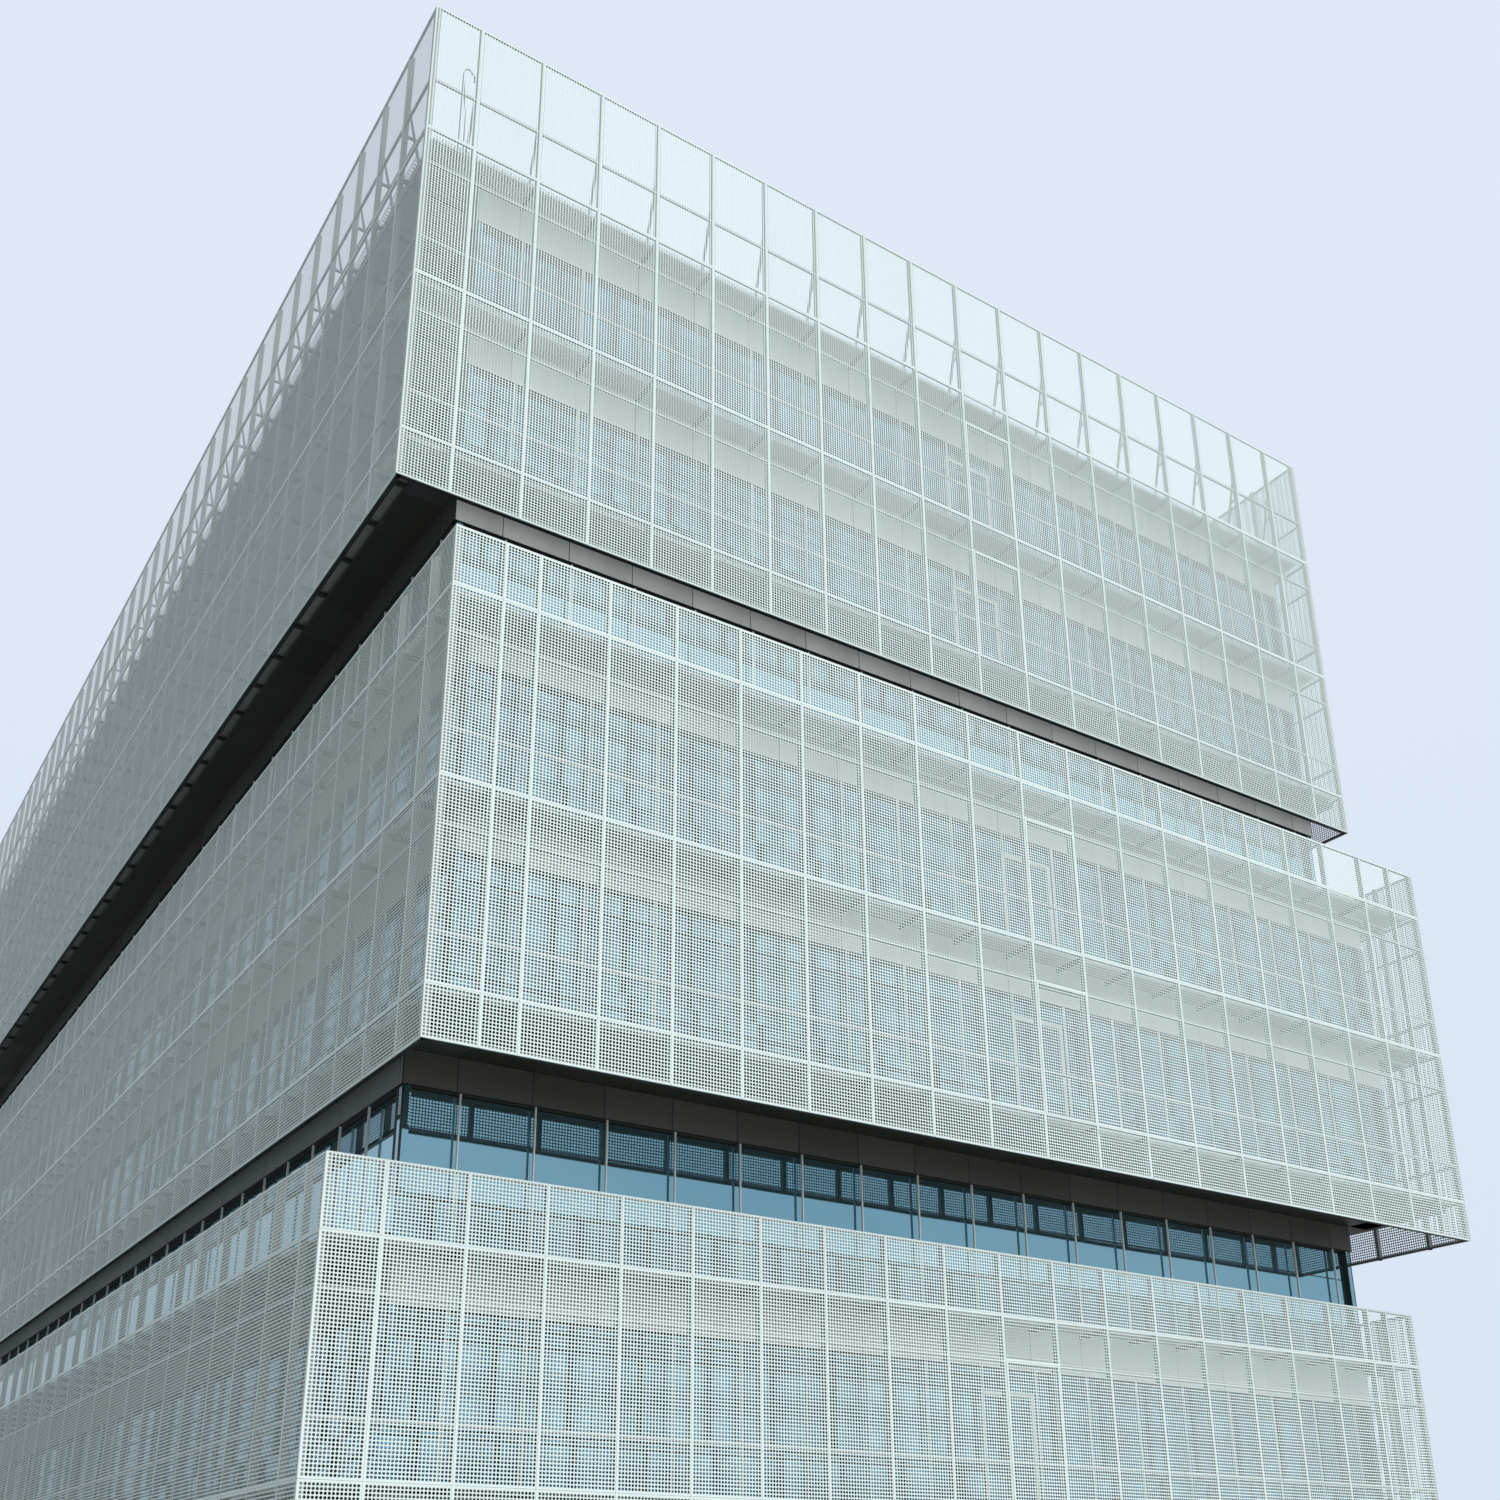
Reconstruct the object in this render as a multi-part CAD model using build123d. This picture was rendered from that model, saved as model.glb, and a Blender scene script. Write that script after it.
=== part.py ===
from build123d import *
import os
from dataclasses import dataclass

# A city hotel of three stacked box-shaped blocks, each shifted on the one below, as a 1:2 scale model.
# Every size is in millimetres on the model, which is half the size on the building.
# The front looks along -Y, +X runs to the right along the front, and Z = 0 is the street level.
# The origin is the centre of the rectangle that the three blocks cover, at street level.

# The planning grid: screen posts, cassette joints and window mullions all stand on it.
bay = 750
bays_across = 17
bays_deep = 36
storey = 1950
lower_storeys = 3
middle_storeys = 2
upper_storeys = 3
slab_thickness = 125
ground_slab_thickness = 75

# How far each block's screens stand out past the first and the last grid line; front and back are alike.
lower_left_out = 535
lower_right_out = 875
lower_forward = -275
middle_left_out = 125
middle_right_out = 1105
middle_forward = 565
upper_left_out = 555
upper_right_out = 655
upper_forward = 20

# How far each screen hangs below its first floor and rises above its last one.
lower_ground_gap = 100
lower_parapet = 650
middle_skirt = 485
middle_parapet = 640
upper_skirt = 550
upper_parapet = 1760
roof_guard_height = 690

# The closed body behind the screens.
wall_left_inset = 250
wall_right_overrun = 385
gallery_width = 430
wall_thickness = 150
corner_pier_width = 75
window_sill = 475
roof_upstand = 150
glass_thickness = 12
glass_setback = 60

# Perforated screens: a thin sheet, and a frame behind it of posts with rails let into their outer faces.
sheet_thickness = 4
post_width = 45
post_depth = 60
rail_height = 30
rail_depth = 25
edge_bay_min = 450
corner_bay = 515

# Galleries between body and screen, and the trim of the two recesses.
deck_thickness = 20
deck_edge_gap = 50
side_end_gap = 4
arm_height = 50
arm_width = 30
arm_every_bays = 4
soffit_thickness = 15
soffit_edge_gap = 5
soffit_reach = 450
fascia_thickness = 20
fascia_height = 335

# Raking braces that hold the tall roof screen, each with a tie, and chords along the ties of the long sides.
brace_bar = 25
brace_foot_reach = 240
brace_top_height = 1000
brace_tie_height = 595
brace_chord = 30
brace_wall_gap = 10

# Slim davit on the roof-level gallery, by the first post at the near corner.
davit_width = 30
davit_height = 1500
davit_reach = 130
davit_drop = 90
davit_post_gap = 60
davit_wall_gap = 90

# Framed panels that open for rescue, one a storey in one bay of the front.
bays_left_of_access = 9
access_bar = 40

# Perimeter columns inside the body.
column_size = 300
column_clearance = 200
columns_across = 4
columns_deep = 5

grid_width = bays_across * bay
grid_depth = bays_deep * bay
mid_x = (grid_width + max(lower_right_out, middle_right_out, upper_right_out)
         - max(lower_left_out, middle_left_out, upper_left_out)) / 2
mid_y = grid_depth / 2
wall_left = wall_left_inset - mid_x
wall_right = grid_width + wall_right_overrun - mid_x
window_head = storey - slab_thickness - soffit_thickness - fascia_height
rail_plane = sheet_thickness + rail_depth
frame_depth = sheet_thickness + post_depth
middle_base = lower_storeys
upper_base = middle_base + middle_storeys
roof = upper_base + upper_storeys


@dataclass
class Block:
    """One of the three shifted boxes: its screens' outer faces, its levels and its walls."""
    name: str
    left: float
    right: float
    front: float
    bottom: float
    top: float
    floors: list
    wall_bottom: float
    wall_top: float

    @property
    def rear(self):
        return -self.front

    @property
    def wall_front(self):
        return self.front + gallery_width

    @property
    def wall_rear(self):
        return self.rear - gallery_width


def level(number):
    return number * storey


def make_block(name, left_out, right_out, forward, bottom, top, floors, wall_bottom, wall_top):
    return Block(name, -left_out - mid_x, grid_width + right_out - mid_x, -forward - mid_y,
                 bottom, top, floors, wall_bottom, wall_top)


lower = make_block("lower", lower_left_out, lower_right_out, lower_forward, lower_ground_gap,
                   level(middle_base - 1) + lower_parapet, list(range(1, middle_base)),
                   0, level(middle_base) - slab_thickness)
middle = make_block("middle", middle_left_out, middle_right_out, middle_forward,
                    level(middle_base) - middle_skirt, level(upper_base) + middle_parapet,
                    list(range(middle_base, upper_base + 1)),
                    level(middle_base), level(upper_base) - slab_thickness)
upper = make_block("upper", upper_left_out, upper_right_out, upper_forward,
                   level(upper_base + 1) - upper_skirt, level(roof) + upper_parapet,
                   list(range(upper_base + 1, roof + 1)), level(upper_base), level(roof) + roof_upstand)
blocks = [lower, middle, upper]


def brick(x, y, z):
    """A box between two corners, each given as a pair of limits."""
    size = (x[1] - x[0], y[1] - y[0], z[1] - z[0])
    centre = (sum(x) / 2, sum(y) / 2, sum(z) / 2)
    return Pos(*centre) * Box(*size)


def save(name, solids):
    shape = solids[0] if len(solids) == 1 else Compound(children=solids)
    shape.label = name
    export_step(shape, f"parts/{name}.step")


def post_lines(low, high, origin, count):
    """Grid lines that carry posts between two screen corners, with a narrow bay at a corner left over."""
    lines = [origin + i * bay for i in range(count + 1)]
    lines = [p for p in lines if low + edge_bay_min <= p <= high - edge_bay_min]
    if lines[0] - low > bay + post_width:
        lines.insert(0, low + corner_bay)
    if high - lines[-1] > bay + post_width:
        lines.append(high - corner_bay)
    return lines


def across_lines(block):
    return post_lines(block.left, block.right, -mid_x, bays_across + 1)


def deep_lines(block):
    return post_lines(block.front, block.rear, -mid_y, bays_deep + 1)


# Perforated sheets, one for each side of each block.
def screen_sheets(block):
    z = (block.bottom, block.top)
    inner_y = (block.front + sheet_thickness, block.rear - sheet_thickness)
    return {
        "front": brick((block.left, block.right), (block.front, inner_y[0]), z),
        "back": brick((block.left, block.right), (inner_y[1], block.rear), z),
        "left": brick((block.left, block.left + sheet_thickness), inner_y, z),
        "right": brick((block.right - sheet_thickness, block.right), inner_y, z),
    }


def screened_storeys(block):
    """Floors of the storeys that lie wholly behind a block's screen."""
    return [number for number in [0] + block.floors
            if level(number + 1) <= block.top and (number > 0 or block is lower)]


def rail_rows(block):
    """Bottom and top of each rail: at the edges, at the floors, two to each storey, and the roof's guard rail."""
    half = rail_height / 2
    heights = [block.bottom + half, block.top - half] + [level(n) for n in block.floors]
    for number in screened_storeys(block):
        heights += [level(number) + window_sill, level(number) + window_head]
    if block is upper:
        heights.append(level(roof) + roof_guard_height)
    return [(middle - half, middle + half) for middle in sorted(heights)]


def screen_rails(block):
    """Rails straight behind the sheets, from one corner post to the next."""
    x = (block.left + frame_depth, block.right - frame_depth)
    y = (block.front + frame_depth, block.rear - frame_depth)
    rails = []
    for z in rail_rows(block):
        rails.append(brick(x, (block.front + sheet_thickness, block.front + rail_plane), z))
        rails.append(brick(x, (block.rear - rail_plane, block.rear - sheet_thickness), z))
        rails.append(brick((block.left + sheet_thickness, block.left + rail_plane), y, z))
        rails.append(brick((block.right - rail_plane, block.right - sheet_thickness), y, z))
    return rails


def post_profile(block, foot):
    """Side view of a post, as depth and height: its outer face is cut away where a rail passes."""
    heights = [foot] + [z for row in rail_rows(block) for z in row] + [block.top]
    points = []
    for number, (low, high) in enumerate(zip(heights, heights[1:])):
        depth = rail_plane if number % 2 else sheet_thickness
        if high > low:
            points += [(depth, low), (depth, high)]
    return points + [(frame_depth, block.top), (frame_depth, foot)]


def screen_posts(block):
    """Posts behind the sheets, the lower ones down to the street, with a square one in each corner."""
    foot = 0 if block is lower else block.bottom
    profile, half = post_profile(block, foot), post_width / 2
    corner_x = ((block.left + sheet_thickness, block.left + frame_depth),
                (block.right - frame_depth, block.right - sheet_thickness))
    corner_y = ((block.front + sheet_thickness, block.front + frame_depth),
                (block.rear - frame_depth, block.rear - sheet_thickness))
    posts = [brick(x, y, (foot, block.top)) for x in corner_x for y in corner_y]
    for x in across_lines(block):
        for face, inward in ((block.front, 1), (block.rear, -1)):
            corners = [(x - half, face + inward * depth, z) for depth, z in profile]
            posts.append(extrude(make_face(Polyline(*corners, close=True)), amount=post_width, dir=(1, 0, 0)))
    for y in deep_lines(block):
        for face, inward in ((block.left, 1), (block.right, -1)):
            corners = [(face + inward * depth, y - half, z) for depth, z in profile]
            posts.append(extrude(make_face(Polyline(*corners, close=True)), amount=post_width, dir=(0, 1, 0)))
    return posts


def window_rows(block):
    """Bottom and top of each storey's window band in a block's walls."""
    first = round(block.wall_bottom / storey)
    last = round(block.wall_top / storey)
    return [(level(n) + window_sill, level(n) + window_head) for n in range(first, last)]


def end_walls(block):
    """Front and back walls, with a window band cut through at each storey between two slim piers."""
    walls = []
    opening_x = (wall_left + corner_pier_width, wall_right - corner_pier_width)
    for outer, inner in ((block.wall_front, block.wall_front + wall_thickness),
                         (block.wall_rear - wall_thickness, block.wall_rear)):
        wall = brick((wall_left, wall_right), (outer, inner), (block.wall_bottom, block.wall_top))
        for sill, head in window_rows(block):
            wall -= brick(opening_x, (outer, inner), (sill, head))
        walls.append(wall)
    return walls


def side_walls(block):
    """Wall bands of the two long sides, between the end walls, with the windows in between."""
    y = (block.wall_front + wall_thickness, block.wall_rear - wall_thickness)
    edges = [block.wall_bottom] + [z for row in window_rows(block) for z in row] + [block.wall_top]
    bands = zip(edges[0::2], edges[1::2])
    sides = ((wall_left, wall_left + wall_thickness), (wall_right - wall_thickness, wall_right))
    return [brick(x, y, z) for z in bands for x in sides]


def glazing(block):
    """One sheet of glass to each window band and side, set back from the wall's face."""
    panes = []
    x = (wall_left + corner_pier_width, wall_right - corner_pier_width)
    y = (block.wall_front + wall_thickness, block.wall_rear - wall_thickness)
    near = glass_setback
    far = glass_setback + glass_thickness
    for z in window_rows(block):
        panes.append(brick(x, (block.wall_front + near, block.wall_front + far), z))
        panes.append(brick(x, (block.wall_rear - far, block.wall_rear - near), z))
        panes.append(brick((wall_left + near, wall_left + far), y, z))
        panes.append(brick((wall_right - far, wall_right - near), y, z))
    return panes


def inner_floor(block, number, thickness=slab_thickness):
    """A floor slab that ends at the inner faces of a block's walls."""
    return brick((wall_left + wall_thickness, wall_right - wall_thickness),
                 (block.wall_front + wall_thickness, block.wall_rear - wall_thickness),
                 (level(number) - thickness, level(number)))


def transfer_floor(below, above, number):
    """A slab between two shifted blocks, out to the walls of both."""
    return brick((wall_left, wall_right),
                 (min(below.wall_front, above.wall_front), max(below.wall_rear, above.wall_rear)),
                 (level(number) - slab_thickness, level(number)))


def ground_slab():
    return brick((wall_left + wall_thickness, wall_right - wall_thickness),
                 (lower.wall_front + wall_thickness, lower.wall_rear - wall_thickness),
                 (0, ground_slab_thickness))


def columns():
    """Square columns along the inside of the walls, one length to each storey."""
    margin = wall_thickness + column_clearance + column_size / 2
    x0, x1 = wall_left + margin, wall_right - margin
    y0 = max(b.wall_front for b in blocks) + margin
    y1 = min(b.wall_rear for b in blocks) - margin
    xs = [x0 + (x1 - x0) * i / (columns_across - 1) for i in range(columns_across)]
    ys = [y0 + (y1 - y0) * i / (columns_deep - 1) for i in range(columns_deep)]
    places = [(x, y) for x in xs for y in ys if x in (xs[0], xs[-1]) or y in (ys[0], ys[-1])]
    half = column_size / 2
    shafts = []
    for number in range(roof):
        foot = ground_slab_thickness if number == 0 else level(number)
        z = (foot, level(number + 1) - slab_thickness)
        shafts += [brick((x - half, x + half), (y - half, y + half), z) for x, y in places]
    return shafts


def decks(block):
    """Gallery floors from the walls to just short of the posts, four lengths to a level."""
    solids = []
    reach = frame_depth + deck_edge_gap
    x_out = (block.left + reach, block.right - reach)
    y_out = (block.front + reach, block.rear - reach)
    for number in block.floors:
        z = (level(number) - deck_thickness, level(number))
        y_front, y_rear = block.wall_front, block.wall_rear
        solids.append(brick(x_out, (y_out[0], y_front), z))
        solids.append(brick(x_out, (y_rear, y_out[1]), z))
        y_side = (y_front + side_end_gap, y_rear - side_end_gap)
        solids.append(brick((x_out[0], wall_left), y_side, z))
        solids.append(brick((wall_right, x_out[1]), y_side, z))
    return solids


def gallery_arms(block):
    """Bracket arms under the decks, from the body to the posts, on every few grid lines."""
    arms = []
    half = arm_width / 2
    xs = [i * bay - mid_x for i in range(0, bays_across + 1, arm_every_bays)]
    ys = [j * bay - mid_y for j in range(0, bays_deep + 1, arm_every_bays)]
    xs = [x for x in xs if any(abs(x - p) < half for p in across_lines(block)) and wall_left < x < wall_right]
    ys = [y for y in ys if any(abs(y - p) < half for p in deep_lines(block))
          and block.wall_front < y < block.wall_rear]
    for number in block.floors:
        z = (level(number) - deck_thickness - arm_height, level(number) - deck_thickness)
        for x in xs:
            arms.append(brick((x - half, x + half), (block.front + frame_depth, block.wall_front), z))
            arms.append(brick((x - half, x + half), (block.wall_rear, block.rear - frame_depth), z))
        for y in ys:
            arms.append(brick((block.left + frame_depth, wall_left), (y - half, y + half), z))
            arms.append(brick((wall_right, block.right - frame_depth), (y - half, y + half), z))
    return arms


def ring(inner_x, inner_y, outer_x, outer_y):
    """Front, rear, left and right rectangles round a rectangle, the side ones a small gap short at each end."""
    side_y = (inner_y[0] + side_end_gap, inner_y[1] - side_end_gap)
    return [(outer_x, (outer_y[0], inner_y[0])), (outer_x, (inner_y[1], outer_y[1])),
            ((outer_x[0], inner_x[0]), side_y), ((inner_x[1], outer_x[1]), side_y)]


def soffit_top(number):
    return level(number + 1) - slab_thickness


def fascia(block, number):
    """Grey band over the windows of the recess, in front of the walls."""
    z = (level(number) + window_head, soffit_top(number) - soffit_thickness)
    inner_x, inner_y = (wall_left, wall_right), (block.wall_front, block.wall_rear)
    outer_x = (wall_left - fascia_thickness, wall_right + fascia_thickness)
    outer_y = (block.wall_front - fascia_thickness, block.wall_rear + fascia_thickness)
    return [brick(x, y, z) for x, y in ring(inner_x, inner_y, outer_x, outer_y)]


def soffit(body, block, number):
    """Dark ceiling panels under a block's galleries and its overhang, with an upstand on the outer edge."""
    thickness = soffit_thickness
    z = (soffit_top(number) - thickness, soffit_top(number))
    upstand_z = (soffit_top(number), level(number + 1) - deck_thickness - arm_height - soffit_edge_gap)
    reach = frame_depth + deck_edge_gap
    outer_x = (max(block.left + reach, wall_left - soffit_reach),
               min(block.right - reach, wall_right + soffit_reach))
    overhang = max(0, body.wall_front - block.wall_front) + soffit_reach
    outer_y = (max(block.front + reach, body.wall_front - overhang),
               min(block.rear - reach, body.wall_rear + soffit_reach))
    panels = ring((wall_left, wall_right), (body.wall_front, body.wall_rear), outer_x, outer_y)
    front, rear, left, right = panels
    edges = [(front[0], (outer_y[0], outer_y[0] + thickness)), (rear[0], (outer_y[1] - thickness, outer_y[1])),
             ((outer_x[0], outer_x[0] + thickness), left[1]), ((outer_x[1] - thickness, outer_x[1]), right[1])]
    return [brick(*panel, z) + brick(*edge, upstand_z) for panel, edge in zip(panels, edges)]


def roof_screen_sides():
    """Each side of the roof screen: the plane behind its posts, the way in, its posts, if it runs along X."""
    across = across_lines(upper)
    deep = [y for y in deep_lines(upper) if upper.wall_front < y < upper.wall_rear]
    return [(upper.front + frame_depth, 1, across, True), (upper.rear - frame_depth, -1, across, True),
            (upper.left + frame_depth, 1, deep, False), (upper.right - frame_depth, -1, deep, False)]


def brace_foot(plane, along_x):
    """How far in a brace stands: less where the gallery is narrow, as on the right side."""
    if along_x:
        return brace_foot_reach
    gallery = min(abs(plane - wall) for wall in (wall_left, wall_right))
    return min(brace_foot_reach, gallery - brace_wall_gap)


def roof_bar(section, plane, inward, start, length, along_x):
    """A straight bar over the roof, with its section given as reach from the posts and height from the roof."""
    if along_x:
        corners = [(start, plane + inward * reach, level(roof) + height) for reach, height in section]
    else:
        corners = [(plane + inward * reach, start, level(roof) + height) for reach, height in section]
    return extrude(make_face(Polyline(*corners, close=True)), amount=length, dir=(along_x, not along_x, 0))


def brace_profile(foot):
    """Side view of a brace: a raking bar from the gallery up to a post, and a level tie between the two."""
    top, bar = brace_top_height, brace_bar
    tie_low, tie_high = brace_tie_height - bar / 2, brace_tie_height + bar / 2
    low, high = foot * (1 - tie_low / top), foot * (1 - tie_high / top)
    return [(foot, 0), (0, top), (0, top - 2 * bar), (high - bar, tie_high), (0, tie_high), (0, tie_low),
            (low - bar, tie_low), (foot - bar, 0)]


def chord_section(foot):
    """Section of the long bar that lies against the raking bars, level with their ties."""
    z = (brace_tie_height - brace_chord / 2, brace_tie_height + brace_chord / 2)
    low, high = (foot * (1 - height / brace_top_height) for height in z)
    return [(low, z[0]), (high, z[1]), (high + brace_chord, z[1]), (low + brace_chord, z[0])]


def roof_braces():
    """A brace behind each post of the roof screen, standing on the roof-level gallery."""
    braces = []
    for plane, inward, posts, along_x in roof_screen_sides():
        profile = brace_profile(brace_foot(plane, along_x))
        braces += [roof_bar(profile, plane, inward, post - brace_bar / 2, brace_bar, along_x) for post in posts]
    return braces


def roof_chords():
    """A long bar that joins the braces, on each of the two long sides."""
    chords = []
    for plane, inward, posts, along_x in roof_screen_sides():
        if not along_x:
            section = chord_section(brace_foot(plane, along_x))
            start, length = posts[0] - brace_bar / 2, posts[-1] - posts[0] + brace_bar
            chords.append(roof_bar(section, plane, inward, start, length, along_x))
    return chords


def davit():
    """A square mast with a hooked arm, standing on the corner of the roof-level gallery."""
    half = davit_width / 2
    x, y, z = -mid_x - davit_post_gap, upper.wall_front - davit_wall_gap, level(roof)
    top = z + davit_height
    hook = x + davit_reach
    outline = [(x - half, z), (x + half, z), (x + half, top - davit_width), (hook - half, top - davit_width),
               (hook - half, top - davit_drop), (hook + half, top - davit_drop), (hook + half, top),
               (x - half, top)]
    points = [(across, y - half, height) for across, height in outline]
    return extrude(make_face(Polyline(*points, close=True)), amount=davit_width, dir=(0, 1, 0))


def access_frames(block):
    """Frames of the opening panels, one a storey, between two posts of the front and behind the rails."""
    x = (bays_left_of_access * bay - mid_x + post_width / 2,
         (bays_left_of_access + 1) * bay - mid_x - post_width / 2)
    y = (block.front + rail_plane, block.front + frame_depth)
    frames = []
    for number in screened_storeys(block):
        z = (max(level(number), block.bottom), level(number) + window_head)
        inner_x = (x[0] + access_bar, x[1] - access_bar)
        inner_z = (z[0] + access_bar, z[1] - access_bar)
        frames.append(brick(x, y, z) - brick(inner_x, y, inner_z))
    return frames


os.makedirs("parts", exist_ok=True)
save("lower_floors", [ground_slab()] + [inner_floor(lower, n) for n in range(1, middle_base)])
save("middle_floors", [transfer_floor(lower, middle, middle_base)]
     + [inner_floor(middle, n) for n in range(middle_base + 1, upper_base)])
save("upper_floors", [transfer_floor(middle, upper, upper_base)]
     + [inner_floor(upper, n) for n in range(upper_base + 1, roof)])
save("roof_slab", [inner_floor(upper, roof)])
save("columns", columns())
for block in blocks:
    for side, sheet in screen_sheets(block).items():
        save(f"{block.name}_screen_{side}", [sheet])
    save(f"{block.name}_screen_posts", screen_posts(block))
    save(f"{block.name}_screen_rails", screen_rails(block))
    save(f"{block.name}_end_walls", end_walls(block))
    save(f"{block.name}_side_walls", side_walls(block))
    save(f"{block.name}_glazing", glazing(block))
    save(f"{block.name}_gallery_decks", decks(block))
    save(f"{block.name}_gallery_arms", gallery_arms(block))
save("access_frames", [frame for block in blocks for frame in access_frames(block)])
save("recess_fascias", fascia(lower, middle_base - 1) + fascia(upper, upper_base))
save("middle_soffit", soffit(lower, middle, middle_base - 1))
save("upper_soffit", soffit(upper, upper, upper_base))
save("roof_braces", roof_braces())
save("roof_chords", roof_chords())
save("roof_davit", [davit()])
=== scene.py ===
import math
import random

import bmesh
import bpy
from mathutils import Matrix, Vector


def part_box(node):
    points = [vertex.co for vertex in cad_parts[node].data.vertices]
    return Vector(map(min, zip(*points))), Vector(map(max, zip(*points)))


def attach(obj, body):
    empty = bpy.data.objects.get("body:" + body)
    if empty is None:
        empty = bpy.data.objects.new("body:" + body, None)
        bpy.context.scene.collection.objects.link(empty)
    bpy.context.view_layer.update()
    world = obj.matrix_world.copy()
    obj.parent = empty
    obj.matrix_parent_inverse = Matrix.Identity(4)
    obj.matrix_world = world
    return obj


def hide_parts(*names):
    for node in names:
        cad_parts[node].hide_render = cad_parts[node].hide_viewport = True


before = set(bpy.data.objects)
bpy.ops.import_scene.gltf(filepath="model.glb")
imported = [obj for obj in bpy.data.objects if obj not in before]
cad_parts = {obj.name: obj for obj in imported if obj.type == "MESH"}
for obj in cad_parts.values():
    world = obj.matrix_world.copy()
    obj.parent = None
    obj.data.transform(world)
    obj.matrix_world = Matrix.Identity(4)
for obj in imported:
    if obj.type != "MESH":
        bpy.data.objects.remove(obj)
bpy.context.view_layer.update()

# The picture. The camera stands at eye height on the street by the near corner and looks up along both
# faces. The focal length and the upward shift of the frame are in pixels of a picture 1500 pixels wide.
eye = Vector((-11.49, -26.05, 0.80))
heading, look_up, roll = math.radians(33.477), math.radians(21.109), math.radians(0.329)
picture_size, focal_length, shift_up, sensor_width = 1500, 1650.33, 250, 36
nearest_seen, farthest_seen = 0.5, 500
forward = Vector((math.sin(heading) * math.cos(look_up), math.cos(heading) * math.cos(look_up),
                  math.sin(look_up)))
level_right = Vector((math.cos(heading), -math.sin(heading), 0))
straight_down = forward.cross(level_right)
picture_right = math.cos(roll) * level_right + math.sin(roll) * straight_down
picture_up = math.sin(roll) * level_right - math.cos(roll) * straight_down
camera = bpy.data.objects.new("camera", bpy.data.cameras.new("camera"))
camera.data.sensor_width = sensor_width
camera.data.lens = focal_length / picture_size * sensor_width
camera.data.shift_y = shift_up / picture_size
camera.data.clip_start, camera.data.clip_end = nearest_seen, farthest_seen
axes = Matrix((picture_right, picture_up, -forward)).transposed()
camera.matrix_world = Matrix.Translation(eye) @ axes.to_4x4()
bpy.context.scene.collection.objects.link(camera)
bpy.context.scene.camera = camera
bpy.context.scene.view_settings.view_transform = "Standard"

# The studio: a plain pale floor, a soft key light from the front and the right, and an even pale sky, which
# the camera, mirrors and glass see a little bluer near the horizon.
half_floor, floor_grey = 150, (0.46, 0.47, 0.47)
floor_mesh = bpy.data.meshes.new("studio_floor")
floor_mesh.from_pydata([(-half_floor, -half_floor, 0), (half_floor, -half_floor, 0),
                        (half_floor, half_floor, 0), (-half_floor, half_floor, 0)], [], [(0, 1, 2, 3)])
floor = bpy.data.objects.new("studio_floor", floor_mesh)
bpy.context.scene.collection.objects.link(floor)
floor_paint = bpy.data.materials.new("studio_floor")
floor_paint.use_nodes = True
floor_paint.node_tree.nodes["Principled BSDF"].inputs["Base Color"].default_value = (*floor_grey, 1)
floor_paint.node_tree.nodes["Principled BSDF"].inputs["Roughness"].default_value = 0.9
floor_mesh.materials.append(floor_paint)

key_strength, key_softness, key_direction = 2.75, math.radians(50), Vector((0.45, -0.85, 0.60))
key = bpy.data.objects.new("key_light", bpy.data.lights.new("key_light", "SUN"))
key.data.energy, key.data.angle, key.data.color = key_strength, key_softness, (1.0, 0.99, 0.97)
key.matrix_world = key_direction.to_track_quat("Z", "Y").to_matrix().to_4x4()
key.visible_glossy = False
bpy.context.scene.collection.objects.link(key)

sky = bpy.data.worlds.new("sky")
bpy.context.scene.world = sky
sky.use_nodes = True
tree = sky.node_tree
tree.nodes.clear()
direction = tree.nodes.new("ShaderNodeTexCoord")
height = tree.nodes.new("ShaderNodeSeparateXYZ")
gradient = tree.nodes.new("ShaderNodeMapRange")
gradient.inputs["From Min"].default_value, gradient.inputs["From Max"].default_value = 0.1, 0.65
tint = tree.nodes.new("ShaderNodeMix")
tint.data_type = "RGBA"
tint.inputs["A"].default_value = (0.690, 0.790, 0.910, 1)
tint.inputs["B"].default_value = (0.745, 0.810, 0.930, 1)
seen, ambient = tree.nodes.new("ShaderNodeBackground"), tree.nodes.new("ShaderNodeBackground")
ambient.inputs["Color"].default_value, ambient.inputs["Strength"].default_value = (0.95, 1.0, 0.99, 1), 0.42
rays = tree.nodes.new("ShaderNodeLightPath")
glossy_too, glass_too = tree.nodes.new("ShaderNodeMath"), tree.nodes.new("ShaderNodeMath")
glossy_too.operation = glass_too.operation = "MAXIMUM"
choose, output = tree.nodes.new("ShaderNodeMixShader"), tree.nodes.new("ShaderNodeOutputWorld")
for source, target in ((direction.outputs["Generated"], height.inputs[0]),
                       (height.outputs["Z"], gradient.inputs["Value"]),
                       (gradient.outputs["Result"], tint.inputs["Factor"]),
                       (tint.outputs["Result"], seen.inputs["Color"]),
                       (rays.outputs["Is Camera Ray"], glossy_too.inputs[0]),
                       (rays.outputs["Is Glossy Ray"], glossy_too.inputs[1]),
                       (glossy_too.outputs[0], glass_too.inputs[0]),
                       (rays.outputs["Is Transmission Ray"], glass_too.inputs[1]),
                       (glass_too.outputs[0], choose.inputs["Fac"]),
                       (ambient.outputs[0], choose.inputs[1]), (seen.outputs[0], choose.inputs[2]),
                       (choose.outputs[0], output.inputs["Surface"])):
    tree.links.new(source, target)

# The cast concrete frame: the floors, and the columns along the inside of the walls, struck from board forms
# that leave faint lines. It shows only behind the glass.
BLOCKS = ("lower", "middle", "upper")


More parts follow.
